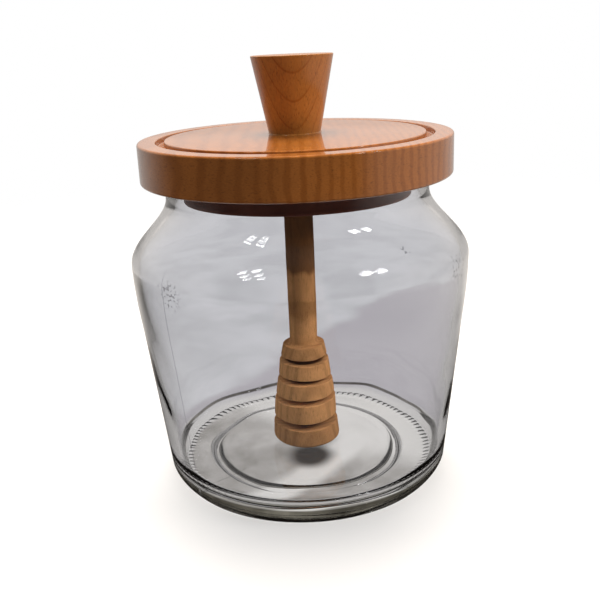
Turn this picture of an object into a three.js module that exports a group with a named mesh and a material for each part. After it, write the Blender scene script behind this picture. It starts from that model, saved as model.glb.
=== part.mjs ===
import * as THREE from "three";

// Honey jar with a turned wooden lid and a dipper that hangs from the lid, shown shut and empty.
// Millimetres, +Z up. The origin is the middle of the ring that the jar stands on.
// Heights are above that ring, and every piece is turned about the Z axis.

// Driving dimensions of the glass jar
const JAR_HEIGHT = 120.5;
const FOOT = { radius: 57.9, height: 5 };
const SIDE_TOP = { radius: 65.3, height: 73.2 };
const WIDEST = { radius: 66.3, height: 90.3 };
const NECK = { radius: 51, height: 115 };
const SHOULDER_FULLNESS = 8;
const NECK_FULLNESS = 8.7;
const BELLY_FULLNESS = 13.5;
const WALL = 3;
const INNER_DROP = 1.2;
const STANDING_RING_OUTER = 54.6;
const STANDING_RING_INNER = 43.2;
const STEP_INNER = 40.8;
const STEP_RISE = 1.4;
const PUSH_UP = 2.4;
const FLOOR_HEIGHT = 6.6;
const FLOOR_CORNER = 7;
const RIM_ROUND = 1.4;

// Driving dimensions of the wooden lid and the plug that centres it in the neck
const LID_RADIUS = 60;
const LID_THICKNESS = 15.2;
const LID_EDGE_ROUND = 1;
const GROOVE_OUTER = 53.1;
const GROOVE_INNER = 49.7;
const GROOVE_DEPTH = 2.3;
const DISC_RISE = 0.3;
const DISC_DOME = 0.7;
const PLUG_RADIUS = 41.5;
const PLUG_DEPTH = 6.6;
const PLUG_CHAMFER = 1;

// Driving dimensions of the dark seal round the plug
const SEAL_RADIUS = 45;
const SEAL_DEPTH = 7.2;
const SEAL_ROUND = 0.6;

// Driving dimensions of the knob
const KNOB_BASE_RADIUS = 9.95;
const KNOB_TOP_RADIUS = 15.6;
const KNOB_TOP_HEIGHT = 165.3;
const KNOB_CHAMFER = 0.4;

// Driving dimensions of the dipper: a rod, and a head of five rings that grow towards the tip
const ROD_RADIUS = 5.75;
const SLOT_CORE_RADIUS = 6.6;
const RING_EDGE = 0.4;
const TIP_ROUND = 1.2;
const HEAD_RINGS = [
  { top: 51.3, topRadius: 8.6, bottom: 46.2, bottomRadius: 9.7 },
  { top: 44.3, topRadius: 10.3, bottom: 38.0, bottomRadius: 11.0 },
  { top: 36.0, topRadius: 11.5, bottom: 29.8, bottomRadius: 12.3 },
  { top: 27.8, topRadius: 12.7, bottom: 19.9, bottomRadius: 13.2 },
  { top: 16.9, topRadius: 13.7, bottom: 9.3, bottomRadius: 14.5 },
];

// Clearance between pieces that touch
const GAP = 0.3;

// Facets
const JAR_SIDES = 72;
const LID_SIDES = 72;
const SEAL_SIDES = 64;
const KNOB_SIDES = 48;
const DIPPER_SIDES = 36;
const CURVE_STEPS = 6;
const ROUND_STEPS = 2;

// Heights worked out from the driving dimensions
const LID_UNDERSIDE = JAR_HEIGHT + GAP;
const LID_TOP = LID_UNDERSIDE + LID_THICKNESS;
const DISC_TOP = LID_TOP + DISC_DOME;
const PLUG_BOTTOM = LID_UNDERSIDE - PLUG_DEPTH;
const SEAL_BOTTOM = LID_UNDERSIDE - SEAL_DEPTH;

// A closed body of revolution about Z. The profile holds radius and height.
function turned(profile, sides) {
  const geometry = new THREE.LatheGeometry(profile, sides);
  return geometry.rotateX(Math.PI / 2);
}

function point(radius, height) {
  return new THREE.Vector2(radius, height);
}

// Points of a curve after its first one, so that joined stretches share no point.
function along(curve, steps) {
  return curve.getPoints(steps).slice(1);
}

// A rounded corner from one point to another, bulging towards the corner between them.
function rounded(from, corner, to, steps = ROUND_STEPS) {
  return along(new THREE.QuadraticBezierCurve(from, corner, to), steps);
}

// The S-shaped shoulder: it leaves the widest ring upright and reaches the neck upright.
function shoulderCurve(widest, neck) {
  const leaving = point(widest.x, widest.y + SHOULDER_FULLNESS);
  const arriving = point(neck.x, neck.y - NECK_FULLNESS);
  return along(new THREE.CubicBezierCurve(widest, leaving, arriving, neck), CURVE_STEPS + 2);
}

// The belly: from the top of the straight side to the widest ring.
function bellyCurve(sideTop, widest) {
  return rounded(sideTop, point(widest.x, widest.y - BELLY_FULLNESS), widest, ROUND_STEPS + 2);
}

// Radius of the straight flaring side at any height.
function sideRadius(height) {
  const flare = (SIDE_TOP.radius - FOOT.radius) / (SIDE_TOP.height - FOOT.height);
  return FOOT.radius + flare * (height - FOOT.height);
}

// Underside: a hollowed middle, one round step, and the flat ring that the jar stands on.
function undersideProfile() {
  return [
    point(0, PUSH_UP),
    point(STEP_INNER * 0.6, PUSH_UP - 0.2),
    point(STEP_INNER - 2, PUSH_UP - 0.7),
    point(STEP_INNER, STEP_RISE),
    point(STANDING_RING_INNER, 0),
    point(STANDING_RING_OUTER, 0),
  ];
}

// Outside: round heel, straight flaring side, full shoulder, short upright neck.
function outsideProfile() {
  const heelStart = point(STANDING_RING_OUTER, 0);
  const heelCorner = point(FOOT.radius - 0.8, FOOT.height / 2);
  const heelEnd = point(FOOT.radius, FOOT.height);
  const sideTop = point(SIDE_TOP.radius, SIDE_TOP.height);
  const widest = point(WIDEST.radius, WIDEST.height);
  const neck = point(NECK.radius, NECK.height);
  return [
    ...rounded(heelStart, heelCorner, heelEnd, CURVE_STEPS - 2),
    sideTop,
    ...bellyCurve(sideTop, widest),
    ...shoulderCurve(widest, neck),
  ];
}

// Rim: both edges of the neck's top are rounded.
function rimProfile() {
  const inner = NECK.radius - WALL;
  const outerStart = point(NECK.radius, JAR_HEIGHT - RIM_ROUND);
  const outerEnd = point(NECK.radius - RIM_ROUND, JAR_HEIGHT);
  const innerStart = point(inner + RIM_ROUND, JAR_HEIGHT);
  const innerEnd = point(inner, JAR_HEIGHT - RIM_ROUND);
  return [
    outerStart,
    ...rounded(outerStart, point(NECK.radius, JAR_HEIGHT), outerEnd),
    innerStart,
    ...rounded(innerStart, point(inner, JAR_HEIGHT), innerEnd),
  ];
}

// Inside: the outside moved in by the wall, down to a rounded corner and a nearly flat floor.
function insideProfile() {
  const neck = point(NECK.radius - WALL, NECK.height - INNER_DROP);
  const widest = point(WIDEST.radius - WALL, WIDEST.height - INNER_DROP);
  const sideTop = point(SIDE_TOP.radius - WALL, SIDE_TOP.height);
  const cornerTopHeight = FLOOR_HEIGHT + FLOOR_CORNER;
  const cornerTop = point(sideRadius(cornerTopHeight) - WALL, cornerTopHeight);
  const corner = point(sideRadius(FLOOR_HEIGHT) - WALL, FLOOR_HEIGHT + 0.2);
  const floorEdge = point(corner.x - FLOOR_CORNER, FLOOR_HEIGHT + 0.2);
  const upwards = [
    sideTop,
    ...bellyCurve(sideTop, widest),
    ...shoulderCurve(widest, neck),
  ];
  return [
    ...upwards.reverse(),
    cornerTop,
    ...rounded(cornerTop, corner, floorEdge, CURVE_STEPS - 1),
    point(0, FLOOR_HEIGHT),
  ];
}

function glassJar() {
  const profile = [...undersideProfile(), ...outsideProfile(), ...rimProfile(), ...insideProfile()];
  return turned(profile, JAR_SIDES);
}

// Lid: a thick disc with a turned groove near its edge and a plug under it.
function lid() {
  const bottomEdge = point(LID_RADIUS - LID_EDGE_ROUND, LID_UNDERSIDE);
  const sideBottom = point(LID_RADIUS, LID_UNDERSIDE + LID_EDGE_ROUND);
  const sideTop = point(LID_RADIUS, LID_TOP - LID_EDGE_ROUND);
  const topEdge = point(LID_RADIUS - LID_EDGE_ROUND, LID_TOP);
  const grooveBottom = LID_TOP - GROOVE_DEPTH;
  const wallLean = 0.4;
  return turned(
    [
      point(0, PLUG_BOTTOM),
      point(PLUG_RADIUS - PLUG_CHAMFER, PLUG_BOTTOM),
      point(PLUG_RADIUS, PLUG_BOTTOM + PLUG_CHAMFER),
      point(PLUG_RADIUS, LID_UNDERSIDE),
      bottomEdge,
      ...rounded(bottomEdge, point(LID_RADIUS, LID_UNDERSIDE), sideBottom),
      sideTop,
      ...rounded(sideTop, point(LID_RADIUS, LID_TOP), topEdge),
      point(GROOVE_OUTER, LID_TOP),
      point(GROOVE_OUTER - wallLean, grooveBottom),
      point(GROOVE_INNER + wallLean, grooveBottom),
      point(GROOVE_INNER, LID_TOP + DISC_RISE - wallLean),
      point(GROOVE_INNER - wallLean, LID_TOP + DISC_RISE),
      point(KNOB_BASE_RADIUS + 6, DISC_TOP),
      point(0, DISC_TOP),
    ],
    LID_SIDES,
  );
}

// Seal: a plain ring that fills the space between plug and neck.
function sealRing() {
  const inner = PLUG_RADIUS + GAP;
  const top = JAR_HEIGHT;
  return turned(
    [
      point(inner, SEAL_BOTTOM),
      point(SEAL_RADIUS - SEAL_ROUND, SEAL_BOTTOM),
      point(SEAL_RADIUS, SEAL_BOTTOM + SEAL_ROUND),
      point(SEAL_RADIUS, top - SEAL_ROUND),
      point(SEAL_RADIUS - SEAL_ROUND, top),
      point(inner, top),
      point(inner, SEAL_BOTTOM),
    ],
    SEAL_SIDES,
  );
}

// Knob: a cone that widens upwards, flat on top, glued to the middle of the lid.
function knob() {
  const bottom = DISC_TOP + GAP;
  return turned(
    [
      point(0, bottom),
      point(KNOB_BASE_RADIUS - KNOB_CHAMFER, bottom),
      point(KNOB_BASE_RADIUS, bottom + KNOB_CHAMFER),
      point(KNOB_TOP_RADIUS, KNOB_TOP_HEIGHT - KNOB_CHAMFER),
      point(KNOB_TOP_RADIUS - KNOB_CHAMFER, KNOB_TOP_HEIGHT),
      point(0, KNOB_TOP_HEIGHT),
    ],
    KNOB_SIDES,
  );
}

// One ring of the dipper's head, with both edges eased, from its lower slot to its upper one.
function ringProfile(ring) {
  return [
    point(SLOT_CORE_RADIUS, ring.bottom),
    point(ring.bottomRadius - RING_EDGE, ring.bottom),
    point(ring.bottomRadius, ring.bottom + RING_EDGE),
    point(ring.topRadius, ring.top - RING_EDGE),
    point(ring.topRadius - RING_EDGE, ring.top),
    point(SLOT_CORE_RADIUS, ring.top),
  ];
}

// Dipper: tip ring with a rounded lower edge, four slotted rings above it, and the rod up to the plug.
function dipper() {
  const [tip, ...upperRings] = [...HEAD_RINGS].reverse();
  const tipUnder = point(tip.bottomRadius - TIP_ROUND, tip.bottom);
  const tipSide = point(tip.bottomRadius, tip.bottom + TIP_ROUND);
  const [, , , ...tipTop] = ringProfile(tip);
  return turned(
    [
      point(0, tip.bottom),
      tipUnder,
      ...rounded(tipUnder, point(tip.bottomRadius, tip.bottom), tipSide),
      ...tipTop,
      ...upperRings.flatMap(ringProfile),
      point(ROD_RADIUS, HEAD_RINGS[0].top + 0.8),
      point(ROD_RADIUS, PLUG_BOTTOM - GAP),
      point(0, PLUG_BOTTOM - GAP),
    ],
    DIPPER_SIDES,
  );
}

function wood(color, roughness) {
  return new THREE.MeshStandardMaterial({ color, roughness, metalness: 0 });
}

function piece(name, geometry, material) {
  const mesh = new THREE.Mesh(geometry, material);
  mesh.name = name;
  return mesh;
}

const clearGlass = new THREE.MeshStandardMaterial({
  color: "#c5c5c7",
  roughness: 0.05,
  metalness: 0,
  transparent: true,
  opacity: 0.35,
  side: THREE.DoubleSide,
});
const darkRubber = new THREE.MeshStandardMaterial({ color: "#2d1a16", roughness: 0.6, metalness: 0 });

const lidSet = new THREE.Group();
lidSet.add(
  piece("lid", lid(), wood("#88491b", 0.25)),
  piece("knob", knob(), wood("#8f5225", 0.3)),
  piece("seal_ring", sealRing(), darkRubber),
  piece("dipper", dipper(), wood("#926a48", 0.65)),
);

const honeyJar = new THREE.Group();
honeyJar.add(piece("glass_jar", glassJar(), clearGlass), lidSet);

export default honeyJar;
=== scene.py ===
from math import cos, pi, radians, sin

import bmesh
import bpy
from mathutils import Matrix, Vector, noise
from mathutils.geometry import interpolate_bezier


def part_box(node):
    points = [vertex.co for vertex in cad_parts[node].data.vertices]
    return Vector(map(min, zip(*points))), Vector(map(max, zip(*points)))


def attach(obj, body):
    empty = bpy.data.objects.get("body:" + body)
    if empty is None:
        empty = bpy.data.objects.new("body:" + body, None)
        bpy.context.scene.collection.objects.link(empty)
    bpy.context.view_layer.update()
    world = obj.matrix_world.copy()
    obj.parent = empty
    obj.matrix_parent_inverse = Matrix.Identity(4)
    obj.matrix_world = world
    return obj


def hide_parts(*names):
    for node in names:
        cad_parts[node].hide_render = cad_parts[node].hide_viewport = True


bl_info = {
    "name": "Honey jar with dipper",
    "version": (1, 0, 0),
    "blender": (4, 5, 0),
    "location": "3D View > Sidebar > Honey jar",
    "description": "Makes a glass honey jar with a turned wooden lid and dipper",
    "category": "Add Mesh",
}

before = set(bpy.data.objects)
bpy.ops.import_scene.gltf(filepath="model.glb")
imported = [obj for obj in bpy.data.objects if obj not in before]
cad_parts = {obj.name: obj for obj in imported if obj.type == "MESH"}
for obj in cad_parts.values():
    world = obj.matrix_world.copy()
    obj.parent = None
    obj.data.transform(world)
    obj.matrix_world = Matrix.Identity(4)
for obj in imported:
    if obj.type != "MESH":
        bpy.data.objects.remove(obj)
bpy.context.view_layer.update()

# Lengths are in millimetres while a piece is modelled, and the finished mesh is scaled to metres.
MILLIMETRE = 0.001
NEARLY = 0.02

# Glass jar: radius and height of the points that its outline runs through
FOOT = (57.9, 5.0)
SIDE_TOP = (64.52, 66.0)
WIDEST = (66.3, 90.3)
NECK_HEIGHT = 115.0
SHOULDER_FULLNESS = 8.0
NECK_FULLNESS = 8.7
BELLY_FULLNESS = 11.0
INNER_DROP = 1.2
STANDING_RING_OUTER = 54.6
STANDING_RING_INNER = 40.2
STEP_INNER = 38.0
STEP_RISE = 1.9
PUSH_UP = 2.4
FLOOR_HEIGHT = 6.6
FLOOR_CORNER = 7.0
RIM_ROUND = 1.4
JAR_SPOKES = 320

# Underside: a ridge inside the step, and grip marks on every third spoke of the standing ring
RIDGE_RISE = 0.55
RIDGE_SWAY = 0.028
RIDGE_WAVE = 24
GRIP_ZONE = 4.4
GRIP_LENGTH = 4.0
GRIP_DEPTH = 0.7
GRIP_EVERY = 3

# Inside of the jar: width of its waves, and how they grow fainter up the wall and deeper below
INNER_WAVE = 17
WAVES_FADE_FROM = 62
WAVES_FADE_TO = 84
FAINTEST_WAVES = 0.12
FLOOR_WAVES = 3

# Lid, seal and knob
PLUG_RADIUS = 41.5
PLUG_DEPTH = 6.6
GROOVE_OUTER = 53.1
GROOVE_INNER = 49.7
GROOVE_SLOPE = 0.4
DISC_RISE = 0.3
DISC_DOME = 0.7
SEAL_INNER = 41.8
SEAL_WAIST = 0.35
SEAL_LOWER_LIP = 1.2
SEAL_UPPER_LIP = 1.8
SEAL_SLOPE = 0.4
KNOB_BASE_RADIUS = 9.95
KNOB_GAP = 0.02
BEAD_WIDTH = 0.45
BEAD_HEIGHT = 0.4
TURNED_SPOKES = 192
SHARP_ANGLE = radians(50)

# Dipper: top height and radius, bottom height and radius of each ring of its head
HEAD_RINGS = (
    (51.3, 8.6, 46.2, 9.7),
    (44.3, 10.3, 38.0, 11.0),
    (36.0, 11.5, 29.8, 12.3),
    (27.8, 12.7, 19.9, 13.2),
    (16.9, 13.7, 9.3, 14.5),
)
SLOT_CORE_RADIUS = 6.6
RING_ROUND = 0.4
TIP_ROUND = 1.2
DIPPER_SPOKES = 96

# Glass: widths of its patterns, the middle and reach of each group of specks, and the seam's place
SWELL_WIDTH = 16
HEEL_SHADE_PATCH = 9
SPECK_GAP = 1.2
SPECK_ZONES = (
    ((-47.0, -47.0, 87.5), 8.0),
    ((57.5, -32.8, 89.0), 9.0),
    ((36.3, -48.7, 101.2), 3.0),
)
SEAM_ANGLE = radians(-137)

# Wood: width of a growth ring, size of the flecks along X, Y and Z, and the step from the heart
# of the tree to the piece's axis. A wave texture of scale 1 repeats after 0.314.
WAVE_REPEAT = 0.314
BOARD_RING = 4.6
BOARD_FLECK = (0.8, 3.0, 0.4)
KNOB_HEART = (0.0, -25.0, 0.0)
KNOB_RING = 2.0
KNOB_FLECK = (0.45, 0.45, 1.6)
DIPPER_HEART = (9.0, -30.0, 0.0)
DIPPER_RING = 2.6
DIPPER_FLECK = (0.4, 0.4, 2.4)
FLECK_DEPTH = 0.1 * MILLIMETRE
CLOUD_PATCH = 11
SHADE_PATCH = 6
# How dark the painted shade makes the dipper along its height, from its tip (0) to its top (1)
SHADE_ALONG_DIPPER = (
    (0.0, 0.3), (0.14, 0.3), (0.18, 0.0), (0.36, 0.0), (0.38, 0.2), (0.44, 0.2), (0.46, 0.0),
    (0.50, 0.0), (0.54, 0.42), (0.58, 0.42), (0.62, 0.1), (0.66, 0.15), (0.685, 0.75), (1.0, 0.75),
)

# Rubber
BLOOM_PATCH = 9
GRIT_WIDTH = 0.4
GRIT_DEPTH = 0.05 * MILLIMETRE

# Camera: place in metres, lens in millimetres, turns in degrees
CAMERA_PLACE = (0, -0.3154, 0.17184)
CAMERA_LENS = 48.71
CAMERA_DIP = 18.04
CAMERA_PAN = 0.14
CAMERA_ROLL = -2.44

# Floor and lamps in metres, with the clouds per metre that the glass shows in the floor
FLOOR_RADIUS = 0.8
FLOOR_GAP = 0.0004
FLOOR_CLOUDS = 22.0
POOL_CLOUDS = 55.0
CEILING_LAMP_HEIGHT = 0.95
# The ceiling lamps' power in the settings is that of a lamp of this area.
CEILING_LAMP_AREA = 0.0042
# Place to the right of the middle and away from the viewer, then length and width
CEILING_LAMPS = (
    (-0.52, -0.35, 0.1, 0.028), (-0.37, -0.37, 0.09, 0.024),
    (-0.53, -0.44, 0.1, 0.028), (-0.375, -0.46, 0.09, 0.024),
    (-0.54, -0.53, 0.1, 0.028), (-0.38, -0.55, 0.09, 0.024),
    (0.67, -0.47, 0.12, 0.14), (0.85, -0.37, 0.12, 0.14),
)
# Greys of the room from straight down (0) to straight up (1)
ROOM_GREYS = (
    (0.0, "#8e8a86"), (0.47, "#cac6c2"), (0.52, "#ccc8c4"), (0.545, "#d0ccc8"),
    (0.556, "#e4dfda"), (0.64, "#ebe6e1"), (0.80, "#c9c7c6"), (1.0, "#d0d0d0"),
)

# The setting that makes a Mix node mix colours
COLOURS = {"data_type": "RGBA"}


def linear(hex_colour):
    """The scene-linear red, green and blue of an sRGB colour written as #rrggbb."""
    values = [int(hex_colour[i:i + 2], 16) / 255 for i in (1, 3, 5)]
    return tuple(v / 12.92 if v <= 0.04045 else ((v + 0.055) / 1.055) ** 2.4 for v in values)


def cad_radius(node):
    """Outer radius of a turned CAD node, in metres."""
    low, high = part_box(node)
    return (high[0] - low[0]) / 2


def cad_height(node, end):
    """Height of a CAD node's underside (end 0) or top (end 1), in metres."""
    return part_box(node)[end][2]


class GlassSettings(bpy.types.PropertyGroup):
    height: bpy.props.FloatProperty(
        name="Height",
        description="Height of the glass jar without its lid",
        default=cad_height("glass_jar", 1),
        unit="LENGTH",
    )
    neck_radius: bpy.props.FloatProperty(
        name="Neck radius",
        description="Outer radius of the neck under the lid",
        default=0.051,
        unit="LENGTH",
    )
    wall: bpy.props.FloatProperty(
        name="Wall",
        description="Thickness of the glass wall",
        default=0.003,
        unit="LENGTH",
    )
    waviness: bpy.props.FloatProperty(
        name="Waviness",
        description="How far the inside of the pressed glass swells and sinks",
        default=0.00022,
        unit="LENGTH",
    )
    colour: bpy.props.FloatVectorProperty(
        name="Glass colour",
        description="Tint of the clear glass",
        default=linear("#f4f4f6"),
        subtype="COLOR",
    )


class LidSettings(bpy.types.PropertyGroup):
    radius: bpy.props.FloatProperty(
        name="Radius",
        description="Outer radius of the wooden lid",
        default=cad_radius("lid"),
        unit="LENGTH",
    )
    thickness: bpy.props.FloatProperty(
        name="Thickness",
        description="Height of the lid's upright side",
        default=0.0152,
        unit="LENGTH",
    )
    groove_depth: bpy.props.FloatProperty(
        name="Groove depth",
        description="Depth of the groove turned into the lid's top",
        default=0.0023,
        unit="LENGTH",
    )
    wood_colour: bpy.props.FloatVectorProperty(
        name="Wood colour",
        description="Colour of the varnished wood between its growth rings",
        default=linear("#aa672c"),
        subtype="COLOR",
    )
    ring_colour: bpy.props.FloatVectorProperty(
        name="Ring colour",
        description="Colour of the darker growth rings",
        default=linear("#97571f"),
        subtype="COLOR",
    )
    knob_colour: bpy.props.FloatVectorProperty(
        name="Knob colour",
        description="Colour of the knob's wood, which is a little lighter than the board",
        default=linear("#b37436"),
        subtype="COLOR",
    )


class DipperSettings(bpy.types.PropertyGroup):
    rod_radius: bpy.props.FloatProperty(
        name="Rod radius",
        description="Radius of the dipper's rod",
        default=0.00575,
        unit="LENGTH",
    )
    wood_colour: bpy.props.FloatVectorProperty(
        name="Wood colour",
        description="Colour of the bare turned wood",
        default=linear("#dfa56d"),
        subtype="COLOR",
    )


class StageSettings(bpy.types.PropertyGroup):
    floor_colour: bpy.props.FloatVectorProperty(
        name="Floor colour",
        description="Colour of the plain floor",
        default=linear("#f6f6f6"),
        subtype="COLOR",
    )
    backdrop_colour: bpy.props.FloatVectorProperty(
        name="Backdrop colour",
        description="Colour of the plain space around the object",
        default=linear("#ffffff"),
        subtype="COLOR",
    )
    glass_floor_colour: bpy.props.FloatVectorProperty(
        name="Floor colour through glass",
        description="Colour of the floor where it is seen through the glass",
        default=linear("#e9e9eb"),
        subtype="COLOR",
    )
    glass_backdrop_colour: bpy.props.FloatVectorProperty(
        name="Backdrop colour through glass",
        description="Colour of the space around the object where it is seen through the glass",
        default=linear("#e9e9eb"),
        subtype="COLOR",
    )
    lamp_power: bpy.props.FloatProperty(
        name="Lamp power",
        description="Power of the main soft lamp in watts",
        default=3.4,
        unit="POWER",
    )
    ceiling_power: bpy.props.FloatProperty(
        name="Ceiling lamp power",
        description="Power of each small ceiling lamp in watts",
        default=0.25,
        unit="POWER",
    )


def at(radius, height):
    """A point of a turned outline, in millimetres."""
    return Vector((radius, 0, height))


def curve(start, leaving, arriving, end, steps):
    """Points of a smooth stretch of outline after its first one."""
    return interpolate_bezier(start, leaving, arriving, end, steps + 1)[1:]


def corner(start, tip, end, steps):
    """A rounded corner that bulges towards its tip, without its first point."""
    return curve(start, start.lerp(tip, 2 / 3), end.lerp(tip, 2 / 3), end, steps)


def straight(start, end, steps):
    """Even points along a straight stretch after its first one."""
    return [start.lerp(end, i / steps) for i in range(1, steps + 1)]


def turned(outline, spokes):
    """A closed body turned about the Z axis from an outline in millimetres."""
    bm = bmesh.new()
    verts = [bm.verts.new(point) for point in outline]
    edges = [bm.edges.new(pair) for pair in zip(verts, verts[1:])]
    if (outline[0] - outline[-1]).length < NEARLY:
        bmesh.ops.weld_verts(bm, targetmap={verts[-1]: verts[0]})
        edges = list(bm.edges)
    bmesh.ops.spin(
        bm,
        geom=list(bm.verts) + edges,
        cent=(0, 0, 0),
        axis=(0, 0, 1),
        angle=2 * pi,
        steps=spokes,
        use_merge=True,
    )
    bmesh.ops.remove_doubles(bm, verts=bm.verts, dist=NEARLY / 10)
    bmesh.ops.recalc_face_normals(bm, faces=bm.faces)
    return bm


def ease_edge(bm, radius, height, width, segments=3):
    """Rounds the turned edge that runs round at this radius and height."""
    def on_edge(vert):
        away = Vector(vert.co.xy).length - radius
        return abs(away) < NEARLY and abs(vert.co.z - height) < NEARLY

    edges = [edge for edge in bm.edges if all(on_edge(vert) for vert in edge.verts)]
    if not edges:
        raise RuntimeError(f"no edge at radius {radius} mm and height {height} mm")
    bmesh.ops.bevel(
        bm,
        geom=edges,
        offset=width,
        offset_type="OFFSET",
        affect="EDGES",
        segments=segments,
        profile=0.5,
        material=-1,
    )


def finished(bm, name, material, node):
    """Turns a modelled piece into an object that stands for its CAD node."""
    bmesh.ops.scale(bm, vec=Vector((1, 1, 1)) * MILLIMETRE, verts=bm.verts)
    mesh = bpy.data.meshes.new(name)
    for face in bm.faces:
        face.smooth = True
    bm.to_mesh(mesh)
    bm.free()
    mesh.materials.append(material)
    piece = bpy.data.objects.new(name, mesh)
    bpy.context.scene.collection.objects.link(piece)
    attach(piece, "root")
    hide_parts(node)
    return piece


def weighted(piece):
    """Keeps broad faces evenly shaded beside their rounded edges."""
    piece.data.set_sharp_from_angle(angle=SHARP_ANGLE)
    modifier = piece.modifiers.new("even_shading", "WEIGHTED_NORMAL")
    modifier.keep_sharp = True


def add_node(tree, kind, inputs=None, stops=(), **settings):
    """Adds a shader node with its settings, its inputs and the stops of its colour ramp.

    An input is named, or counted among those in use. It takes a number, a colour, a socket, or a
    node, whose first output in use it reads. The colour of a stop may be a plain number.
    """
    node = tree.nodes.new("ShaderNode" + kind)
    for name, value in settings.items():
        setattr(node, name, value)
    in_use = [socket for socket in node.inputs if socket.enabled]
    for key, value in (inputs or {}).items():
        if isinstance(key, str):
            key = [socket.name for socket in in_use].index(key)
        socket = in_use[key]
        if isinstance(value, bpy.types.Node):
            value = next(output for output in value.outputs if output.enabled)
        if isinstance(value, bpy.types.NodeSocket):
            tree.links.new(value, socket)
        elif socket.type == "RGBA":
            socket.default_value = (*value, 1.0)
        else:
            socket.default_value = value
    if stops:
        elements = node.color_ramp.elements
        while len(elements) < len(stops):
            elements.new(0.5)
        for element, (position, colour) in zip(elements, stops):
            if isinstance(colour, float):
                colour = (colour, colour, colour)
            element.position = position
            element.color = (*colour, 1.0)
    return node


def new_material(name):
    """An empty material and its node tree."""
    material = bpy.data.materials.new(name)
    material.use_nodes = True
    material.node_tree.nodes.clear()
    return material, material.node_tree


def millimetres(tree):
    """The place on a piece in millimetres, for patterns of a real size."""
    texture_place = add_node(tree, "TexCoord")
    metres = texture_place.outputs["Object"]
    return add_node(tree, "VectorMath", {0: metres, "Scale": 1 / MILLIMETRE}, operation="SCALE")


def from_axis(tree, place):
    """Distance of a place from the axis that the piece is turned about."""
    level = add_node(tree, "VectorMath", {0: place, 1: (1, 1, 0)}, operation="MULTIPLY")
    return add_node(tree, "VectorMath", {0: level}, operation="LENGTH")


def area(tree, *borders):
    """1 inside soft borders and 0 outside. A border is a value with its outer and inner end."""
    steps = [
        add_node(
            tree,
            "MapRange",
            {"Value": value, "From Min": outer, "From Max": inner},
            interpolation_type="SMOOTHSTEP",
        )
        for value, outer, inner in borders
    ]
    inside = steps[0]
    for step in steps[1:]:
        inside = add_node(tree, "Math", {0: inside, 1: step}, operation="MULTIPLY")
    return inside


def shade(colour, share):
    """A colour that keeps a share of its brightness."""
    return tuple(value * share for value in colour)


def opaque_surface(tree, colour, relief, finish):
    """Ends a material in one shader with its colour, its bump and its gloss."""
    bump = add_node(tree, "Bump", relief)
    shader = add_node(tree, "BsdfPrincipled", {"Base Color": colour, "Normal": bump, **finish})
    add_node(tree, "OutputMaterial", {"Surface": shader})


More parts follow.
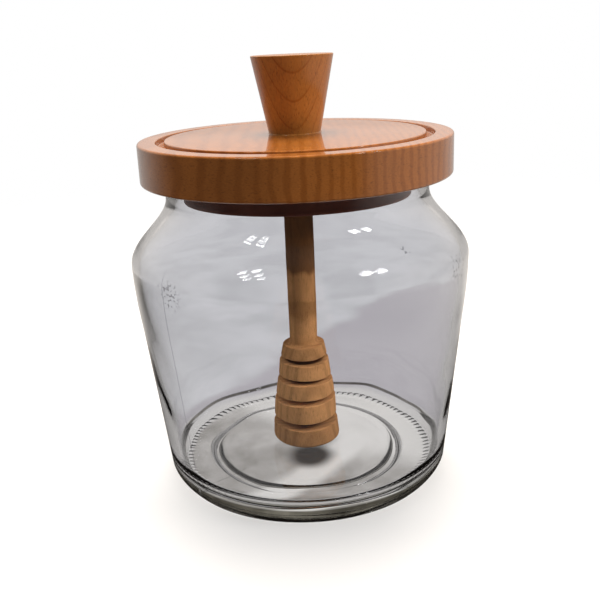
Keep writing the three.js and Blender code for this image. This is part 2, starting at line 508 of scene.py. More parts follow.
def clear_soda_glass(settings):
    """Soda-lime glass pressed in a mould: clear, very smooth, faintly grey where it is thick."""
    material, tree = new_material("clear_soda_glass")
    place = millimetres(tree)
    split = add_node(tree, "SeparateXYZ", {0: place})
    height = split.outputs["Z"]
    side = add_node(tree, "NewGeometry")
    from_inside = side.outputs["Backfacing"]
    # The solid heel is painted dark olive grey: painted shade for the dark surroundings that its
    # thick glass bends into view. The wall above it looks clear.
    heel_shade_noise = add_node(tree, "TexNoise", {"Vector": place, "Scale": 1 / HEEL_SHADE_PATCH, "Detail": 3.0})
    olive = add_node(
        tree, "ValToRGB", {0: heel_shade_noise}, [(0.35, linear("#1c1a15")), (0.65, linear("#4a473d"))]
    )
    near_heel = area(tree, (height, 7.8, 6.8))
    # Seen from inside, the painted shade keeps only to the far line where the floor meets the wall.
    far_line = area(tree, (height, 5.8, 6.8), (height, 8.6, 7.8), (split.outputs["Y"], -30.0, 0.0))
    dark_part = add_node(tree, "Mix", {"Factor": from_inside, "A": near_heel, "B": far_line})
    away = from_axis(tree, place)
    beyond_ring = area(tree, (away, STANDING_RING_OUTER, STANDING_RING_OUTER + 0.8))
    heel = add_node(tree, "Math", {0: dark_part, 1: beyond_ring}, operation="MULTIPLY")
    tint = add_node(tree, "Mix", {"Factor": heel, "A": settings.colour, "B": olive}, **COLOURS)
    # The mould leaves a thin upright seam on the outside of the belly.
    across = (sin(SEAM_ANGLE), -cos(SEAM_ANGLE), 0)
    off_seam = add_node(tree, "VectorMath", {0: place, 1: across}, operation="DOT_PRODUCT")
    gap = add_node(tree, "Math", {0: off_seam}, operation="ABSOLUTE")
    upright = area(tree, (gap, 0.4, 0.1), (height, 100.0, 88.0))
    outside = add_node(
        tree, "Math", {0: upright, 1: from_inside}, operation="SUBTRACT", use_clamp=True
    )
    on_left = area(tree, (split.outputs["X"], -20.0, -30.0))
    seam = add_node(tree, "Math", {0: outside, 1: on_left}, operation="MULTIPLY")
    tint = add_node(tree, "Mix", {"Factor": seam, "A": tint, "B": linear("#bcbbc0")}, **COLOURS)
    # Small specks lie in the glass in three places, each about half a millimetre wide.
    dots = add_node(tree, "TexNoise", {"Vector": place, "Scale": 1 / SPECK_GAP, "Detail": 0.0})
    dotted = add_node(tree, "ValToRGB", {0: dots}, [(0.63, 0.0), (0.69, 1.0)])
    zone = 0.0
    for centre, reach in SPECK_ZONES:
        to_zone = add_node(tree, "VectorMath", {0: place, 1: centre}, operation="DISTANCE")
        near = area(tree, (to_zone, reach, reach * 0.4))
        zone = add_node(tree, "Math", {0: zone, 1: near}, operation="MAXIMUM")
    specks = add_node(tree, "Math", {0: dotted, 1: zone}, operation="MULTIPLY")
    tint = add_node(tree, "Mix", {"Factor": specks, "A": tint, "B": linear("#8c8b8e")}, **COLOURS)
    swell = add_node(tree, "TexNoise", {"Vector": place, "Scale": 1 / SWELL_WIDTH, "Detail": 1.0})
    relief = add_node(tree, "Bump", {"Strength": 0.015, "Distance": 0.0009, "Height": swell})
    glass = add_node(
        tree,
        "BsdfPrincipled",
        {
            "Base Color": tint,
            "Roughness": 0.0,
            "IOR": 1.5,
            "Transmission Weight": 1.0,
            "Normal": relief,
        },
    )
    # Lamps shine through the jar onto the dipper, so a shadow ray passes straight through it.
    passed = add_node(tree, "BsdfTransparent", {"Color": linear("#ffffff")})
    light = add_node(tree, "LightPath")
    in_shadow = light.outputs["Is Shadow Ray"]
    surface = add_node(tree, "MixShader", {0: in_shadow, 1: glass, 2: passed})
    grey = add_node(tree, "VolumeAbsorption", {"Color": linear("#c9c9c4"), "Density": 26.0})
    add_node(tree, "OutputMaterial", {"Surface": surface, "Volume": grey})
    return material


def beech(tree, place, rings, ring_stops, cloud_colour, fleck_size):
    """Colour of beech with growth rings, clouds and short dark ray flecks, and the flecks alone."""
    ringed = add_node(tree, "ValToRGB", {0: rings}, ring_stops)
    cloud = add_node(tree, "TexNoise", {"Vector": place, "Scale": 1 / CLOUD_PATCH, "Detail": 4.0})
    cloudy = add_node(tree, "ValToRGB", {0: cloud}, [(0.3, 0.0), (0.75, 0.75)])
    clouded = add_node(tree, "Mix", {"Factor": cloudy, "A": ringed, "B": cloud_colour}, **COLOURS)
    fleck_scale = [1 / size for size in fleck_size]
    stretched = add_node(tree, "Mapping", {"Vector": place, "Scale": fleck_scale})
    grain = add_node(
        tree, "TexNoise", {"Vector": stretched, "Scale": 1.0, "Detail": 2.0, "Roughness": 0.6}
    )
    flecks = add_node(tree, "ValToRGB", {0: grain}, [(0.6, 0.0), (0.76, 0.8)])
    # Between the flecks the fine pores make the wood a little uneven.
    pores = add_node(tree, "ValToRGB", {0: grain}, [(0.3, 1.08), (0.6, 0.93)])
    uneven = add_node(
        tree, "Mix", {"Factor": 1.0, "A": clouded, "B": pores}, blend_type="MULTIPLY", **COLOURS
    )
    dark = shade(cloud_colour, 0.42)
    colour = add_node(tree, "Mix", {"Factor": flecks, "A": uneven, "B": dark}, **COLOURS)
    return colour, flecks


def varnished_beech_board(settings):
    """Quarter-sawn beech board, turned and varnished: upright bands, mirror-like at a low angle."""
    material, tree = new_material("varnished_beech_board")
    place = millimetres(tree)
    # Growth rings stand upright across the board, 8 mm apart on the left and 3 mm on the right.
    split = add_node(tree, "SeparateXYZ", {0: place})
    x = split.outputs["X"]
    closer = add_node(tree, "Math", {0: x, 1: 0.007, 2: 1.0}, operation="MULTIPLY_ADD")
    across = add_node(tree, "Math", {0: x, 1: closer}, operation="MULTIPLY")
    warped = add_node(
        tree, "CombineXYZ", {"X": across, "Y": split.outputs["Y"], "Z": split.outputs["Z"]}
    )
    bands = add_node(
        tree,
        "TexWave",
        {
            "Vector": warped,
            "Scale": WAVE_REPEAT / BOARD_RING,
            "Distortion": 5.0,
            "Detail": 3.0,
            "Detail Scale": 0.5,
            "Detail Roughness": 0.65,
        },
        wave_type="BANDS",
    )
    wood_colour = settings.wood_colour
    stops = [(0.0, wood_colour), (0.45, wood_colour), (0.9, settings.ring_colour)]
    clouds = shade(wood_colour, 0.78)
    colour, flecks = beech(tree, place, bands.outputs["Fac"], stops, clouds, BOARD_FLECK)
    finish = {
        "Roughness": 0.5,
        "Specular IOR Level": 0.15,
        "Coat Weight": 1.0,
        "Coat Roughness": 0.05,
        "Coat IOR": 1.6,
    }
    relief = {"Strength": 0.15, "Distance": FLECK_DEPTH, "Height": flecks}
    opaque_surface(tree, colour, relief, finish)
    return material


def varnished_beech_knob(settings):
    """Flat-sawn beech, turned to a cone and varnished: its growth rings show as upright arches."""
    material, tree = new_material("varnished_beech_knob")
    place = millimetres(tree)
    from_heart = add_node(tree, "VectorMath", {0: place, 1: KNOB_HEART}, operation="ADD")
    rings = add_node(
        tree,
        "TexWave",
        {
            "Vector": from_heart,
            "Scale": WAVE_REPEAT / KNOB_RING,
            "Distortion": 0.5,
            "Detail": 2.0,
            "Detail Scale": 0.5,
            "Phase Offset": 1.5,
        },
        wave_type="RINGS",
        rings_direction="Z",
        wave_profile="SAW",
    )
    wood_colour = settings.knob_colour
    between_rings = shade(wood_colour, 0.92)
    stops = [
        (0.0, between_rings),
        (0.3, wood_colour),
        (0.86, wood_colour),
        (0.93, settings.ring_colour),
        (1.0, between_rings),
    ]
    clouds = shade(wood_colour, 0.8)
    colour, flecks = beech(tree, place, rings.outputs["Fac"], stops, clouds, KNOB_FLECK)
    finish = {
        "Roughness": 0.5,
        "Specular IOR Level": 0.15,
        "Coat Weight": 0.8,
        "Coat Roughness": 0.14,
        "Coat IOR": 1.5,
    }
    relief = {"Strength": 0.15, "Distance": FLECK_DEPTH, "Height": flecks}
    opaque_surface(tree, colour, relief, finish)
    return material


def bare_turned_beech(settings):
    """Bare beech fresh from the lathe: paler and matt, with fine dark flecks along the rod, and
    painted shade in its slots and along it.
    """
    material, tree = new_material("bare_turned_beech")
    place = millimetres(tree)
    from_heart = add_node(tree, "VectorMath", {0: place, 1: DIPPER_HEART}, operation="ADD")
    rings = add_node(
        tree,
        "TexWave",
        {
            "Vector": from_heart,
            "Scale": WAVE_REPEAT / DIPPER_RING,
            "Distortion": 1.0,
            "Detail": 2.0,
            "Detail Scale": 0.5,
        },
        wave_type="RINGS",
        rings_direction="Z",
    )
    wood_colour = settings.wood_colour
    stops = [(0.0, wood_colour), (0.55, wood_colour), (0.95, shade(wood_colour, 0.72))]
    clouds = shade(wood_colour, 0.8)
    colour, flecks = beech(tree, place, rings.outputs["Fac"], stops, clouds, DIPPER_FLECK)
    # The bottoms of the sawn slots are painted darker than the rings: painted shade in these
    # recesses.
    split = add_node(tree, "SeparateXYZ", {0: place})
    height = split.outputs["Z"]
    slot_shade = area(tree, (from_axis(tree, place), 9.2, 7.0), (height, 51.0, 49.0))
    # Painted shade darkens the rod's top under the lid, a band further down and the end rings.
    uneven = add_node(tree, "TexNoise", {"Vector": place, "Scale": 1 / SHADE_PATCH, "Detail": 1.0})
    shifted = add_node(tree, "Math", {0: uneven, 1: 8.0, 2: height}, operation="MULTIPLY_ADD")
    along = add_node(tree, "MapRange", {"Value": shifted, "From Min": 4.0, "From Max": 124.0})
    rod_shade = add_node(tree, "ValToRGB", {0: along}, SHADE_ALONG_DIPPER)
    slot_and_rod_shade = add_node(tree, "Math", {0: slot_shade, 1: rod_shade}, operation="MAXIMUM")
    brown = linear("#5a3519")
    colour = add_node(tree, "Mix", {"Factor": slot_and_rod_shade, "A": colour, "B": brown}, **COLOURS)
    relief = {"Strength": 0.3, "Distance": FLECK_DEPTH, "Height": flecks}
    opaque_surface(tree, colour, relief, {"Roughness": 0.8, "Specular IOR Level": 0.1})
    return material


def moulded_rubber():
    """Dark brown moulded rubber: dull, with a faint cloudy bloom and a fine grit."""
    material, tree = new_material("moulded_rubber")
    place = millimetres(tree)
    bloom = add_node(tree, "TexNoise", {"Vector": place, "Scale": 1 / BLOOM_PATCH, "Detail": 3.0})
    colour = add_node(
        tree, "ValToRGB", {0: bloom}, [(0.3, linear("#8f4e3c")), (0.75, linear("#9f5f4c"))]
    )
    grit = add_node(tree, "TexNoise", {"Vector": place, "Scale": 1 / GRIT_WIDTH})
    relief = {"Strength": 0.3, "Distance": GRIT_DEPTH, "Height": grit}
    opaque_surface(tree, colour, relief, {"Roughness": 0.6, "Specular IOR Level": 0.4})
    return material


def underside_outline():
    """Middle of the underside, the step round it, and the ring that the jar stands on."""
    middle = at(0, PUSH_UP)
    ridge_foot = at(STEP_INNER - 0.8, STEP_RISE)
    ridge_top = at(STEP_INNER, STEP_RISE + RIDGE_RISE)
    ridge_end = at(STANDING_RING_INNER - 1.2, STEP_RISE + 0.4)
    step_foot = at(STANDING_RING_INNER, 0)
    grip_start = at(STANDING_RING_OUTER - GRIP_ZONE, 0)
    return [
        middle,
        *curve(middle, at(14, PUSH_UP), at(STEP_INNER - 14, PUSH_UP - 0.2), ridge_foot, 12),
        *corner(ridge_foot, at(STEP_INNER - 0.6, STEP_RISE + 0.45), ridge_top, 4),
        *straight(ridge_top, ridge_end, 3),
        *corner(ridge_end, at(STANDING_RING_INNER - 0.5, STEP_RISE + 0.2), step_foot, 6),
        *straight(step_foot, grip_start, 5),
        *straight(grip_start, at(STANDING_RING_OUTER, 0), 6),
    ]


def outside_outline(neck, height):
    """Heel, flaring side, full shoulder and short neck, up to the rounded rim."""
    heel_start = at(STANDING_RING_OUTER, 0)
    heel_end = at(*FOOT)
    side_top = at(*SIDE_TOP)
    widest = at(*WIDEST)
    neck_foot = at(neck, NECK_HEIGHT)
    belly_tip = at(WIDEST[0], WIDEST[1] - BELLY_FULLNESS)
    leaving = widest + at(0, SHOULDER_FULLNESS)
    arriving = neck_foot - at(0, NECK_FULLNESS)
    return [
        *corner(heel_start, at(FOOT[0] - 0.8, FOOT[1] / 2), heel_end, 10),
        *straight(heel_end, side_top, 16),
        *corner(side_top, belly_tip, widest, 8),
        *curve(widest, leaving, arriving, neck_foot, 28),
        at(neck, height - RIM_ROUND),
    ]


def inside_outline(neck, wall):
    """The wall's inner face, down to a rounded corner and the uneven floor."""
    flare = (SIDE_TOP[0] - FOOT[0]) / (SIDE_TOP[1] - FOOT[1])
    neck_foot = at(neck - wall, NECK_HEIGHT - INNER_DROP)
    widest = at(WIDEST[0] - wall, WIDEST[1] - INNER_DROP)
    side_top = at(SIDE_TOP[0] - wall, SIDE_TOP[1])
    belly_tip = widest - at(0, BELLY_FULLNESS)
    leaving = widest + at(0, SHOULDER_FULLNESS)
    arriving = neck_foot - at(0, NECK_FULLNESS)
    corner_height = FLOOR_HEIGHT + FLOOR_CORNER
    corner_top = at(FOOT[0] + flare * (corner_height - FOOT[1]) - wall, corner_height)
    corner_tip = at(FOOT[0] + flare * (FLOOR_HEIGHT - FOOT[1]) - wall, FLOOR_HEIGHT + 0.2)
    floor_edge = corner_tip - at(FLOOR_CORNER, 0)
    upwards = [
        *corner(side_top, belly_tip, widest, 8),
        *curve(widest, leaving, arriving, neck_foot, 28),
    ]
    return [
        *reversed(upwards),
        side_top,
        *straight(side_top, corner_top, 16),
        *corner(corner_top, corner_tip, floor_edge, 10),
        *straight(floor_edge, at(0, FLOOR_HEIGHT), 16),
    ]


def jar_outline(settings):
    """The jar's section, from the middle of its underside round to the middle of its floor."""
    neck = settings.neck_radius / MILLIMETRE
    wall = settings.wall / MILLIMETRE
    height = settings.height / MILLIMETRE
    outer = at(neck, height - RIM_ROUND)
    inner = at(neck - wall, height - RIM_ROUND)
    rim_outer = outer + at(-RIM_ROUND, RIM_ROUND)
    rim_inner = inner + at(RIM_ROUND, RIM_ROUND)
    return [
        *underside_outline(),
        *outside_outline(neck, height),
        *corner(outer, at(neck, height), rim_outer, 5),
        rim_inner,
        *corner(rim_inner, at(neck - wall, height), inner, 5),
        *inside_outline(neck, wall),
    ]


def make_wavy(bm, amount):
    """Pressed glass is uneven on its inside, which bends what is seen through it."""
    for vert in bm.verts:
        height = vert.co.z
        outward = Vector((vert.co.x, vert.co.y, 0))
        away = outward.length
        depth = 0.0
        if vert.normal.dot(outward) < 0 and FLOOR_HEIGHT + FLOOR_CORNER < height < NECK_HEIGHT - 4:
            fading = (WAVES_FADE_TO - height) / (WAVES_FADE_TO - WAVES_FADE_FROM)
            depth = amount * min(1.0, max(FAINTEST_WAVES, fading))
        elif vert.normal.z > 0.9 and away < 48 and height < 10:
            depth = amount * FLOOR_WAVES
        vert.co += vert.normal * depth * noise.noise(vert.co / INNER_WAVE)
        # The ridge underneath isn't quite round.
        if vert.normal.z < 0.2 and height < 4 and 30 < away < 44:
            vert.co += outward * RIDGE_SWAY * noise.noise(vert.co / RIDGE_WAVE)


def cut_grip_marks(bm):
    """Short radial marks on the outer edge of the standing ring, about 3 mm apart."""
    mark_start = STANDING_RING_OUTER - GRIP_LENGTH
    mark_end = STANDING_RING_OUTER - 0.2
    for vert in bm.verts:
        if vert.co.z > NEARLY or not mark_start < vert.co.xy.length < mark_end:
            continue
        spoke = round(vert.co.xy.angle_signed(Vector((1, 0))) / (2 * pi) * JAR_SPOKES)
        if spoke % GRIP_EVERY == 0:
            vert.co.z += GRIP_DEPTH


class HONEYJAR_OT_glass(bpy.types.Operator):
    """Makes the clear glass jar"""

    bl_idname = "honey_jar.glass"
    bl_label = "Glass jar"

    def execute(self, context):
        settings = context.scene.jar_glass
        bm = turned(jar_outline(settings), JAR_SPOKES)
        bm.normal_update()
        make_wavy(bm, settings.waviness / MILLIMETRE)
        cut_grip_marks(bm)
        finished(bm, "pressed_glass_jar", clear_soda_glass(settings), "glass_jar")
        return {"FINISHED"}


class HONEYJAR_OT_lid(bpy.types.Operator):
    """Makes the turned wooden lid with its groove and plug"""

    bl_idname = "honey_jar.lid"
    bl_label = "Wooden lid"

    def execute(self, context):
        settings = context.scene.jar_lid
        radius = settings.radius / MILLIMETRE
        underside = cad_height("lid", 0) / MILLIMETRE + PLUG_DEPTH
        top = underside + settings.thickness / MILLIMETRE
        groove = top - settings.groove_depth / MILLIMETRE
        disc_edge = top + DISC_RISE
        disc_top = top + DISC_DOME
        plug = underside - PLUG_DEPTH
        crown = at(KNOB_BASE_RADIUS + 6, disc_top)
        outline = [
            at(0, plug),
            at(PLUG_RADIUS, plug),
            at(PLUG_RADIUS, underside),
            at(radius, underside),
            at(radius, top),
            at(GROOVE_OUTER, top),
            at(GROOVE_OUTER - GROOVE_SLOPE, groove),
            at(GROOVE_INNER + GROOVE_SLOPE, groove),
            at(GROOVE_INNER, disc_edge),
            *curve(at(GROOVE_INNER, disc_edge), at(40, top + 0.5), at(26, disc_top), crown, 8),
            at(0, disc_top),
        ]
        bm = turned(outline, TURNED_SPOKES)
        ease_edge(bm, PLUG_RADIUS, plug, 1.0)
        ease_edge(bm, radius, underside, 1.0, 4)
        ease_edge(bm, radius, top, 0.9, 4)
        ease_edge(bm, GROOVE_OUTER, top, 0.35)
        ease_edge(bm, GROOVE_OUTER - GROOVE_SLOPE, groove, 0.4)
        ease_edge(bm, GROOVE_INNER + GROOVE_SLOPE, groove, 0.4)
        ease_edge(bm, GROOVE_INNER, disc_edge, 0.4)
        wood = varnished_beech_board(settings)
        weighted(finished(bm, "turned_lid", wood, "lid"))
        return {"FINISHED"}


class HONEYJAR_OT_seal(bpy.types.Operator):
    """Makes the dark seal round the lid's plug"""

    bl_idname = "honey_jar.seal"
    bl_label = "Seal"

    def execute(self, context):
        radius = cad_radius("seal_ring") / MILLIMETRE
        bottom = cad_height("seal_ring", 0) / MILLIMETRE
        top = cad_height("seal_ring", 1) / MILLIMETRE
        outline = [
            at(SEAL_INNER, bottom),
            at(radius, bottom),
            at(radius, bottom + SEAL_LOWER_LIP),
            at(radius - SEAL_WAIST, bottom + SEAL_LOWER_LIP + SEAL_SLOPE),
            at(radius - SEAL_WAIST, top - SEAL_UPPER_LIP - SEAL_SLOPE),
            at(radius, top - SEAL_UPPER_LIP),
            at(radius, top),
            at(SEAL_INNER, top),
            at(SEAL_INNER, bottom),
        ]
        bm = turned(outline, TURNED_SPOKES)
        ease_edge(bm, radius, bottom, 0.5)
        ease_edge(bm, radius, top, 0.5)
        weighted(finished(bm, "rubber_seal", moulded_rubber(), "seal_ring"))
        return {"FINISHED"}


class HONEYJAR_OT_knob(bpy.types.Operator):
    """Makes the cone-shaped knob"""

    bl_idname = "honey_jar.knob"
    bl_label = "Knob"

    def execute(self, context):
        settings = context.scene.jar_lid
        bottom = cad_height("lid", 1) / MILLIMETRE + KNOB_GAP
        top = cad_height("knob", 1) / MILLIMETRE
        radius = cad_radius("knob") / MILLIMETRE
        # Varnish gathers in a thin bead where the knob meets the lid.
        bead = at(KNOB_BASE_RADIUS + BEAD_WIDTH, bottom)
        bead_top = at(KNOB_BASE_RADIUS + 0.08, bottom + BEAD_HEIGHT)
        outline = [
            at(0, bottom),
            bead,
            *corner(bead, at(KNOB_BASE_RADIUS + 0.1, bottom + 0.1), bead_top, 3),
            *straight(at(KNOB_BASE_RADIUS, bottom), at(radius, top), 6),
            at(0, top),
        ]
        bm = turned(outline, TURNED_SPOKES)
        ease_edge(bm, radius, top, 0.4)
        wood = varnished_beech_knob(settings)
        weighted(finished(bm, "turned_knob", wood, "knob"))
        return {"FINISHED"}


class HONEYJAR_OT_dipper(bpy.types.Operator):
    """Makes the dipper with its slotted head"""

    bl_idname = "honey_jar.dipper"
    bl_label = "Dipper"

    def execute(self, context):
        settings = context.scene.jar_dipper
        rod = settings.rod_radius / MILLIMETRE
        top = cad_height("dipper", 1) / MILLIMETRE
        tip_height = HEAD_RINGS[-1][2]
        outline = [at(0, tip_height)]
        for upper, upper_radius, lower, lower_radius in reversed(HEAD_RINGS):
            if lower != tip_height:
                outline.append(at(SLOT_CORE_RADIUS, lower))
            outline.append(at(lower_radius, lower))
            outline.append(at(upper_radius, upper))
            outline.append(at(SLOT_CORE_RADIUS, upper))
        rod_foot = at(rod, HEAD_RINGS[0][0] + 0.8)
        outline += [rod_foot, *straight(rod_foot, at(rod, top), 12), at(0, top)]
        bm = turned(outline, DIPPER_SPOKES)
        for upper, upper_radius, lower, lower_radius in HEAD_RINGS:
            ease_edge(bm, upper_radius, upper, RING_ROUND)
            ease_edge(bm, lower_radius, lower, TIP_ROUND if lower == tip_height else RING_ROUND)
        wood = bare_turned_beech(settings)
        weighted(finished(bm, "slotted_dipper", wood, "dipper"))
        return {"FINISHED"}


def make_camera():
    """The photograph's viewpoint: a little above the lid, turned slightly clockwise."""
    data = bpy.data.cameras.new("camera")
    data.lens = CAMERA_LENS
    data.sensor_width = 36
    data.clip_start = 0.01
    camera = bpy.data.objects.new("camera", data)
    turn = (
        Matrix.Rotation(radians(CAMERA_PAN), 4, "Z")
        @ Matrix.Rotation(radians(90 - CAMERA_DIP), 4, "X")
        @ Matrix.Rotation(radians(CAMERA_ROLL), 4, "Z")
    )
    camera.matrix_world = Matrix.Translation(CAMERA_PLACE) @ turn
    bpy.context.scene.collection.objects.link(camera)
    bpy.context.scene.camera = camera


def clear_view(tree, light):
    """1 where a ray has only passed through glass, without a reflection on its way."""
    glossy = light.outputs["Glossy Depth"]
    matt = light.outputs["Diffuse Depth"]
    bounces = add_node(tree, "Math", {0: glossy, 1: matt}, operation="ADD")
    direct = add_node(tree, "Math", {0: bounces, 1: 0.5}, operation="LESS_THAN")
    in_glass = light.outputs["Is Transmission Ray"]
    return add_node(tree, "Math", {0: direct, 1: in_glass}, operation="MULTIPLY")


def floor_through_glass(tree, place, split, settings):
    """Colour of the floor as the glass shows it: pale and cloudy, lilac grey on the right."""
    cloud = add_node(tree, "TexNoise", {"Vector": place, "Scale": FLOOR_CLOUDS, "Detail": 2.0})
    cloudy = add_node(tree, "ValToRGB", {0: cloud}, [(0.38, 0.0), (0.62, 1.0)])
    clean = settings.glass_floor_colour
    pale = add_node(tree, "Mix", {"Factor": cloudy, "A": clean, "B": shade(clean, 0.86)}, **COLOURS)
    # The floor beyond is lilac grey on the right, up to a slanting edge.
    edge = add_node(
        tree,
        "MapRange",
        {"Value": split.outputs["X"], "From Min": -0.0908, "From Max": 0.0735, "To Max": 0.235},
    )
    wobble = add_node(tree, "Math", {0: cloud, 1: 0.05, 2: edge}, operation="MULTIPLY_ADD")
    inside = add_node(tree, "Math", {0: wobble, 1: split.outputs["Y"]}, operation="SUBTRACT")
    lilac = area(tree, (inside, 0.01, 0.035))
    return add_node(tree, "Mix", {"Factor": lilac, "A": pale, "B": linear("#cecace")}, **COLOURS)


def light_under_jar(tree, place):
    """Painted light that stands for what the thick base gathers: a grey pool with a bright slanting
    streak.
    """
    cloud = add_node(tree, "TexNoise", {"Vector": place, "Scale": POOL_CLOUDS, "Detail": 3.0})
    cloudy = add_node(tree, "ValToRGB", {0: cloud}, [(0.35, 0.0), (0.65, 1.0)])
    dim = linear("#a29e97")
    pool = add_node(tree, "Mix", {"Factor": cloudy, "A": dim, "B": linear("#d2cec8")}, **COLOURS)
    slanting = add_node(tree, "Mapping", {"Vector": place, "Rotation": (0, 0, radians(-53))})
    across = add_node(tree, "SeparateXYZ", {0: slanting})
    off_line = add_node(tree, "Math", {0: across.outputs["Y"], 1: 0.0136}, operation="ADD")
    distance = add_node(tree, "Math", {0: off_line}, operation="ABSOLUTE")
    streak = area(tree, (distance, 0.011, 0.004))
    far_side = area(tree, (across.outputs["X"], -0.002, 0.022))
    bright = add_node(tree, "Math", {0: streak, 1: far_side}, operation="MAXIMUM")
    lit = add_node(tree, "Mix", {"Factor": bright, "A": pool, "B": linear("#fffcf6")}, **COLOURS)
    # A painted shadow of the dipper's head darkens the middle.
    head = (0.001, -0.007, 0)
    from_head = add_node(tree, "VectorMath", {0: place, 1: head}, operation="DISTANCE")
    beside = area(tree, (from_head, 0.006, 0.0135))
    return add_node(tree, "Mix", {"Factor": beside, "A": linear("#4a4643"), "B": lit}, **COLOURS)


def floor_in_reflections(tree, split, in_glass):
    """Colour of the floor as gloss mirrors it, outside and inside the glass."""
    right = split.outputs["X"]
    back = split.outputs["Y"]
    # Gloss shows the floor pale behind the object and on its right, and dull elsewhere.
    sideways = add_node(tree, "Math", {0: right}, operation="ABSOLUTE")
    behind = add_node(tree, "Math", {0: sideways, 1: -0.5, 2: back}, operation="MULTIPLY_ADD")
    far_back = area(tree, (behind, -0.02, 0.12))
    far_right = area(tree, (right, 0.1, 0.35))
    pale = add_node(tree, "Math", {0: far_back, 1: far_right}, operation="MAXIMUM")
    dull = linear("#2b2724")
    outer = add_node(tree, "Mix", {"Factor": pale, "A": dull, "B": linear("#f4ece4")}, **COLOURS)
    # A reflection inside the glass finds it dull in front and far out on the left.
    pale = area(tree, (right, -0.25, -0.05), (back, -0.2, 0.0))
    dull = linear("#2b2a28")
    inner = add_node(tree, "Mix", {"Factor": pale, "A": dull, "B": linear("#d6d3d0")}, **COLOURS)
    return add_node(tree, "Mix", {"Factor": in_glass, "A": outer, "B": inner}, **COLOURS)


def soft_floor(settings):
    """A plain matt floor that fades into the backdrop far from the object."""
    material, tree = new_material("plain_floor")
    texture_place = add_node(tree, "TexCoord")
    place = texture_place.outputs["Object"]
    split = add_node(tree, "SeparateXYZ", {0: place})
    away = add_node(tree, "VectorMath", {0: place}, operation="LENGTH")
    light = add_node(tree, "LightPath")
    seen = light.outputs["Is Camera Ray"]
    mirrored = floor_in_reflections(tree, split, light.outputs["Is Transmission Ray"])
    # Through the glass, the light under the jar ends at a pale ring, and the open floor follows.
    pool = light_under_jar(tree, place)
    ring = area(tree, (away, 0.050, 0.053))
    near = add_node(tree, "Mix", {"Factor": ring, "A": pool, "B": linear("#efece8")}, **COLOURS)
    open_floor = floor_through_glass(tree, place, split, settings)
    beyond = area(tree, (away, 0.058, 0.066))
    direct = add_node(tree, "Mix", {"Factor": beyond, "A": near, "B": open_floor}, **COLOURS)
    clear = clear_view(tree, light)
    glow_colour = add_node(tree, "Mix", {"Factor": clear, "A": mirrored, "B": direct}, **COLOURS)
    glow = add_node(tree, "Emission", {"Color": glow_colour})
    # The camera sees a matt floor, lifted a little by its own light. Rays that bounced off a matt
    # piece find it darker: a shaded copy that throws back less light.
    colours = {"Factor": seen, "A": linear("#7f7b78"), "B": settings.floor_colour}
    matt_colour = add_node(tree, "Mix", colours, **COLOURS)
    diffuse = add_node(tree, "BsdfDiffuse", {"Color": matt_colour})
    shine = add_node(tree, "Emission", {"Color": settings.floor_colour})
    lift = add_node(tree, "Math", {0: seen, 1: 0.4}, operation="MULTIPLY")
    matt = add_node(tree, "MixShader", {0: lift, 1: diffuse, 2: shine})
    bounced = light.outputs["Diffuse Depth"]
    lit_part = add_node(tree, "Math", {0: seen, 1: bounced}, operation="ADD", use_clamp=True)
    solid = add_node(tree, "MixShader", {0: lit_part, 1: glow, 2: matt})
    # It is clear far out, and from below.
    face = add_node(tree, "NewGeometry")
    far_out = area(tree, (away, 0.16, 0.75))
    under = face.outputs["Backfacing"]
    clear_part = add_node(tree, "Math", {0: far_out, 1: under}, operation="MAXIMUM")
    through = add_node(tree, "BsdfTransparent")
    surface = add_node(tree, "MixShader", {0: clear_part, 1: solid, 2: through})
    add_node(tree, "OutputMaterial", {"Surface": surface})
    return material


def make_floor(settings):
    """A large round floor just under the jar's standing ring."""
    bm = bmesh.new()
    bmesh.ops.create_circle(bm, cap_ends=True, radius=FLOOR_RADIUS, segments=96)
    bmesh.ops.translate(bm, vec=(0, 0, -FLOOR_GAP), verts=bm.verts)
    mesh = bpy.data.meshes.new("floor")
    bm.to_mesh(mesh)
    bm.free()
    mesh.materials.append(soft_floor(settings))
    floor = bpy.data.objects.new("floor", mesh)
    bpy.context.scene.collection.objects.link(floor)


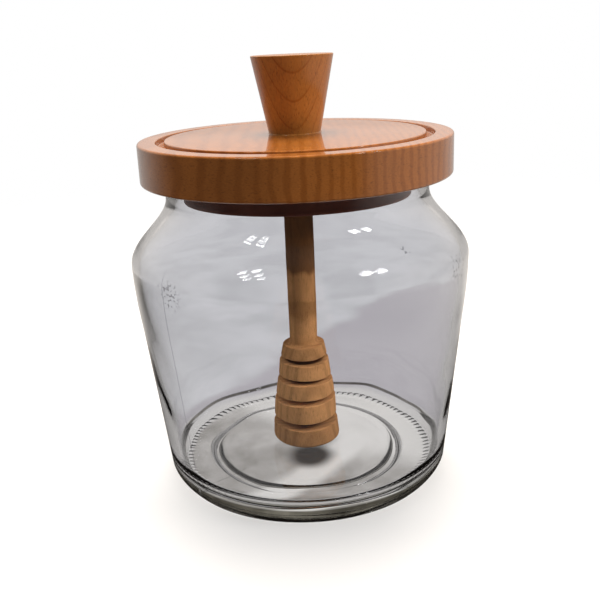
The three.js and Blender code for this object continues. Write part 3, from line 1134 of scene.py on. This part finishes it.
def make_backdrop(settings):
    """A pale space that the camera sees, greyer through the glass, and light from low and above."""
    scene = bpy.context.scene
    scene.view_settings.view_transform = "Standard"
    world = bpy.data.worlds.new("pale_studio")
    scene.world = world
    world.cycles.sampling_method = "NONE"
    world.use_nodes = True
    tree = world.node_tree
    tree.nodes.clear()
    place = add_node(tree, "TexCoord")
    split = add_node(tree, "SeparateXYZ", {0: place.outputs["Generated"]})
    right, back, up = split.outputs
    light = add_node(tree, "LightPath")
    in_glass = light.outputs["Is Transmission Ray"]
    # Height of the direction: dull floor below, a pale band at eye level, a dimmer ceiling.
    level = add_node(tree, "MapRange", {"Value": up, "From Min": -1.0, "From Max": 1.0})
    greys = [(height, linear(grey)) for height, grey in ROOM_GREYS]
    band = add_node(tree, "ValToRGB", {0: level}, greys)
    # Gloss mirrors a bright space behind the object and on its right, and a dark room elsewhere.
    depth = add_node(
        tree,
        "MapRange",
        {"Value": back, "From Min": 0.0, "From Max": 0.75, "To Min": 0.05},
        interpolation_type="SMOOTHSTEP",
    )
    far_right = area(tree, (right, 0.6, 0.92))
    mirrored = add_node(tree, "Math", {0: depth, 1: far_right}, operation="MAXIMUM")
    # Inside the glass a reflected ray finds pale surroundings on all sides but the viewer's.
    inner = add_node(
        tree,
        "MapRange",
        {"Value": back, "From Min": -0.5, "From Max": 0.05, "To Min": 0.03, "To Max": 1.0},
        interpolation_type="SMOOTHSTEP",
    )
    glossy = add_node(tree, "Mix", {"Factor": in_glass, "A": mirrored, "B": inner})
    # Matt pieces get even light outside. In the jar they get it from above and in front.
    from_front = area(tree, (up, 0.42, 0.62), (back, 0.3, -0.3))
    in_jar = add_node(tree, "Math", {0: from_front, 1: in_glass}, operation="MULTIPLY")
    even = add_node(tree, "MapRange", {"Value": in_glass, "To Min": 0.35, "To Max": 0.16})
    matt = add_node(tree, "Math", {0: in_jar, 1: 3.4, 2: even}, operation="MULTIPLY_ADD")
    bounced = light.outputs["Diffuse Depth"]
    after_matt = add_node(tree, "Math", {0: bounced, 1: 0.5}, operation="GREATER_THAN")
    strength = add_node(tree, "Mix", {"Factor": after_matt, "A": glossy, "B": matt})
    lit = add_node(tree, "Background", {"Color": band, "Strength": strength})
    through = add_node(tree, "Background", {"Color": settings.glass_backdrop_colour})
    unseen = add_node(tree, "MixShader", {0: clear_view(tree, light), 1: lit, 2: through})
    seen = add_node(tree, "Background", {"Color": settings.backdrop_colour})
    mixed = add_node(tree, "MixShader", {0: light.outputs["Is Camera Ray"], 1: unseen, 2: seen})
    add_node(tree, "OutputWorld", {"Surface": mixed})


def make_lamp(name, place, aim, size, power, colour, mirrored=True):
    """A soft rectangular lamp that points at a place, seen or not seen in glossy surfaces."""
    data = bpy.data.lights.new(name, "AREA")
    data.shape = "RECTANGLE"
    data.size, data.size_y = size
    data.energy = power
    data.color = colour
    lamp = bpy.data.objects.new(name, data)
    direction = Vector(aim) - Vector(place)
    turn = direction.to_track_quat("-Z", "Y").to_matrix().to_4x4()
    lamp.matrix_world = Matrix.Translation(place) @ turn
    lamp.visible_glossy = mirrored
    lamp.visible_transmission = mirrored
    bpy.context.scene.collection.objects.link(lamp)


def make_ceiling_lamps(power):
    """Small bright lamps overhead, whose reflections are the white marks on the shoulder."""
    white = linear("#ffffff")
    for number, (x, y, length, width) in enumerate(CEILING_LAMPS):
        shine = power * length * width / CEILING_LAMP_AREA
        place = (x, y, CEILING_LAMP_HEIGHT)
        make_lamp(f"ceiling_lamp_{number}", place, (x, y, 0), (length, width), shine, white)


class HONEYJAR_OT_stage(bpy.types.Operator):
    """Makes the camera, the plain floor, the pale backdrop and the soft lamps"""

    bl_idname = "honey_jar.stage"
    bl_label = "Stage"

    def execute(self, context):
        settings = context.scene.jar_stage
        make_camera()
        make_floor(settings)
        make_backdrop(settings)
        power = settings.lamp_power
        middle = (0, 0, 0.09)
        warm = linear("#fff6ec")
        cool = linear("#f4f7ff")
        make_lamp("main_lamp", (0.66, -0.25, 0.5), middle, (0.25, 0.25), power, warm, False)
        make_lamp("side_lamp", (-0.8, 0.3, 0.5), middle, (0.4, 0.4), power * 0.4, cool, False)
        make_lamp("top_lamp", (0.0, 0.25, 1.1), middle, (0.6, 0.6), power * 6.0, warm, False)
        make_ceiling_lamps(settings.ceiling_power)
        return {"FINISHED"}


class HONEYJAR_PT_panel(bpy.types.Panel):
    """Lists the pieces of the honey jar"""

    bl_idname = "HONEYJAR_PT_panel"
    bl_label = "Honey jar"
    bl_space_type = "VIEW_3D"
    bl_region_type = "UI"
    bl_category = "Honey jar"

    def draw(self, context):
        for operator in OPERATORS:
            self.layout.operator(operator.bl_idname)
        for group in SETTINGS:
            settings = getattr(context.scene, group)
            for name in settings.bl_rna.properties.keys():
                if name not in ("name", "rna_type"):
                    self.layout.prop(settings, name)


OPERATORS = (
    HONEYJAR_OT_stage,
    HONEYJAR_OT_glass,
    HONEYJAR_OT_lid,
    HONEYJAR_OT_seal,
    HONEYJAR_OT_knob,
    HONEYJAR_OT_dipper,
)
SETTINGS = {
    "jar_glass": GlassSettings,
    "jar_lid": LidSettings,
    "jar_dipper": DipperSettings,
    "jar_stage": StageSettings,
}


def register():
    for group, settings in SETTINGS.items():
        bpy.utils.register_class(settings)
        setattr(bpy.types.Scene, group, bpy.props.PointerProperty(type=settings))
    for operator in OPERATORS:
        bpy.utils.register_class(operator)
    bpy.utils.register_class(HONEYJAR_PT_panel)


def unregister():
    bpy.utils.unregister_class(HONEYJAR_PT_panel)
    for operator in reversed(OPERATORS):
        bpy.utils.unregister_class(operator)
    for group, settings in SETTINGS.items():
        delattr(bpy.types.Scene, group)
        bpy.utils.unregister_class(settings)


def main():
    register()
    bpy.ops.honey_jar.stage()
    bpy.ops.honey_jar.glass()
    bpy.ops.honey_jar.lid()
    bpy.ops.honey_jar.seal()
    bpy.ops.honey_jar.knob()
    bpy.ops.honey_jar.dipper()


if __name__ == "__main__":
    main()
